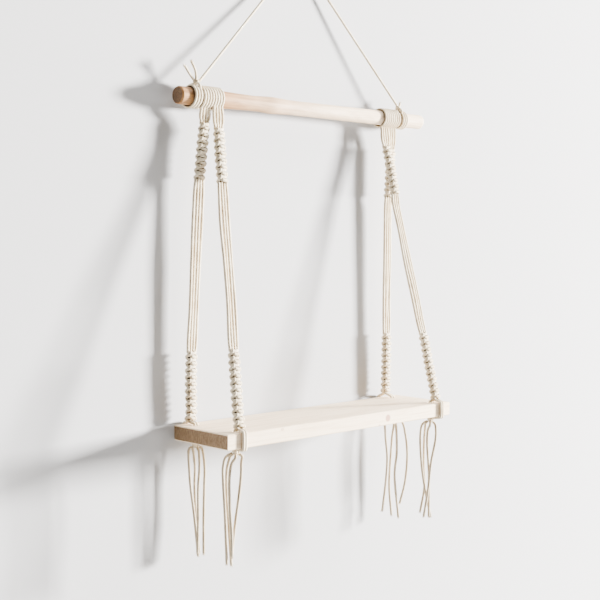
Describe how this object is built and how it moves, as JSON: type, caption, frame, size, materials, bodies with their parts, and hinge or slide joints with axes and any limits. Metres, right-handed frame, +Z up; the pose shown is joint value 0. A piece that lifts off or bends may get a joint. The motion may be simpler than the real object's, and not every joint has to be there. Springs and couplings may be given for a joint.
{
  "type": "hanging rope shelf",
  "caption": "Pine board hung under a natural wood dowel by four knotted cord legs with tassels, on a single hanging cord loop.",
  "frame": {"origin": "the point where the hanging cord bears on its support, in the plane of the board's back edge", "axes": "+X along the board to the right seen from the front, +Y back towards the wall, +Z up"},
  "size_m": [0.4875, 0.1162, 0.8399],
  "materials": {
    "pine_board": "bare planed pine, pale",
    "dowel_wood": "bare natural branch, sanded",
    "cotton_cord": "matt braided cotton cord, natural"
  },
  "bodies": {
    "root": {"dowel": "dowel_wood", "hanging_cord": "cotton_cord", "wrap_left": "cotton_cord", "wrap_right": "cotton_cord"},
    "shelf": {"board": "pine_board", "hitch_back_left_outer": "cotton_cord", "hitch_back_left_inner": "cotton_cord", "upper_sinnet_back_left": "cotton_cord", "strand_back_left_1": "cotton_cord", "strand_back_left_2": "cotton_cord", "strand_back_left_3": "cotton_cord", "strand_back_left_4": "cotton_cord", "lower_sinnet_back_left": "cotton_cord", "foot_back_left": "cotton_cord", "hitch_front_left_outer": "cotton_cord", "hitch_front_left_inner": "cotton_cord", "upper_sinnet_front_left": "cotton_cord", "strand_front_left_1": "cotton_cord", "strand_front_left_2": "cotton_cord", "strand_front_left_3": "cotton_cord", "strand_front_left_4": "cotton_cord", "lower_sinnet_front_left": "cotton_cord", "foot_front_left": "cotton_cord", "hitch_back_right_outer": "cotton_cord", "hitch_back_right_inner": "cotton_cord", "upper_sinnet_back_right": "cotton_cord", "strand_back_right_1": "cotton_cord", "strand_back_right_2": "cotton_cord", "strand_back_right_3": "cotton_cord", "strand_back_right_4": "cotton_cord", "lower_sinnet_back_right": "cotton_cord", "foot_back_right": "cotton_cord", "hitch_front_right_outer": "cotton_cord", "hitch_front_right_inner": "cotton_cord", "upper_sinnet_front_right": "cotton_cord", "strand_front_right_1": "cotton_cord", "strand_front_right_2": "cotton_cord", "strand_front_right_3": "cotton_cord", "strand_front_right_4": "cotton_cord", "lower_sinnet_front_right": "cotton_cord", "foot_front_right": "cotton_cord"},
    "tassel_back_left": {"tassel_back_left_1": "cotton_cord", "tassel_back_left_2": "cotton_cord", "tassel_back_left_3": "cotton_cord", "tassel_back_left_4": "cotton_cord"},
    "tassel_front_left": {"tassel_front_left_1": "cotton_cord", "tassel_front_left_2": "cotton_cord", "tassel_front_left_3": "cotton_cord", "tassel_front_left_4": "cotton_cord"},
    "tassel_back_right": {"tassel_back_right_1": "cotton_cord", "tassel_back_right_2": "cotton_cord", "tassel_back_right_3": "cotton_cord", "tassel_back_right_4": "cotton_cord"},
    "tassel_front_right": {"tassel_front_right_1": "cotton_cord", "tassel_front_right_2": "cotton_cord", "tassel_front_right_3": "cotton_cord", "tassel_front_right_4": "cotton_cord"}
  },
  "joints": [
    {"name": "shelf_swing", "type": "hinge", "parent": "root", "child": "shelf", "pos_m": [0, -0.0165, -0.215], "axis": [-1, 0, 0], "range_deg": [0, 35]},
    {"name": "tassel_sway_back_left", "type": "hinge", "parent": "shelf", "child": "tassel_back_left", "pos_m": [-0.204, -0.0185, -0.67415], "axis": [0, 1, 0], "range_deg": [-25, 25]},
    {"name": "tassel_sway_front_left", "type": "hinge", "parent": "shelf", "child": "tassel_front_left", "pos_m": [-0.1975, -0.0925, -0.67415], "axis": [0, 1, 0], "range_deg": [-25, 25]},
    {"name": "tassel_sway_back_right", "type": "hinge", "parent": "shelf", "child": "tassel_back_right", "pos_m": [0.194, -0.0185, -0.67415], "axis": [0, 1, 0], "range_deg": [-25, 25]},
    {"name": "tassel_sway_front_right", "type": "hinge", "parent": "shelf", "child": "tassel_front_right", "pos_m": [0.1985, -0.0925, -0.67415], "axis": [0, 1, 0], "range_deg": [-25, 25]}
  ]
}
